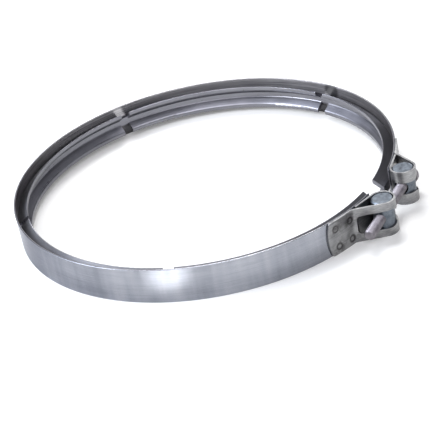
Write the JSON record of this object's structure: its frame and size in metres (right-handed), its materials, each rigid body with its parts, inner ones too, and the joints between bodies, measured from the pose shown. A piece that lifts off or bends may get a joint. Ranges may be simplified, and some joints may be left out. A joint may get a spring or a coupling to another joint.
{
  "type": "v-band clamp",
  "caption": "V-band clamp: a sprung band lined with a notched V retainer that wedges two flanges together, closed by a cap screw through round trunnions in looped straps.",
  "frame": {"origin": "the ring's centre, halfway up the band", "axes": "+Z along the joined tubes, +X from the ring's centre to the middle of the latch's gap, +Y towards the rear strap and the screw's head"},
  "size_m": [0.3059, 0.287, 0.026],
  "materials": {
    "polished_band": "mirror-polished stainless steel",
    "satin_retainer": "satin stainless steel",
    "satin_strap": "satin stainless steel, brushed along the strip",
    "turned_trunnion": "satin turned steel",
    "plated_screw": "dull plated steel"
  },
  "bodies": {
    "clamp_ring": {"outer_band": "polished_band", "retainer_segment_1": "satin_retainer", "retainer_segment_2": "satin_retainer", "retainer_segment_3": "satin_retainer", "retainer_segment_4": "satin_retainer", "retainer_segment_5": "satin_retainer", "front_strap": "satin_strap", "rear_strap": "satin_strap"},
    "front_trunnion": {"front_trunnion": "turned_trunnion"},
    "cap_screw": {"cap_screw": "plated_screw"},
    "rear_trunnion": {"rear_trunnion": "turned_trunnion"}
  },
  "joints": [
    {"name": "front_trunnion_swivel", "type": "hinge", "parent": "clamp_ring", "child": "front_trunnion", "pos_m": [0.15311, -0.0214, 0], "axis": [0, 0, 1], "range_deg": [-1, 1]},
    {"name": "screw_turn", "type": "hinge", "parent": "front_trunnion", "child": "cap_screw", "pos_m": [0.15311, -0.0214, 0], "axis": [-0.0365, 0.9993, 0], "continuous": true},
    {"name": "rear_trunnion_swivel", "type": "hinge", "parent": "clamp_ring", "child": "rear_trunnion", "pos_m": [0.15155, 0.0214, 0], "axis": [0, 0, 1], "range_deg": [-1, 1]}
  ],
  "couplings": [
    {"joint": "rear_trunnion_swivel", "follows": "front_trunnion_swivel", "ratio": 1}
  ]
}
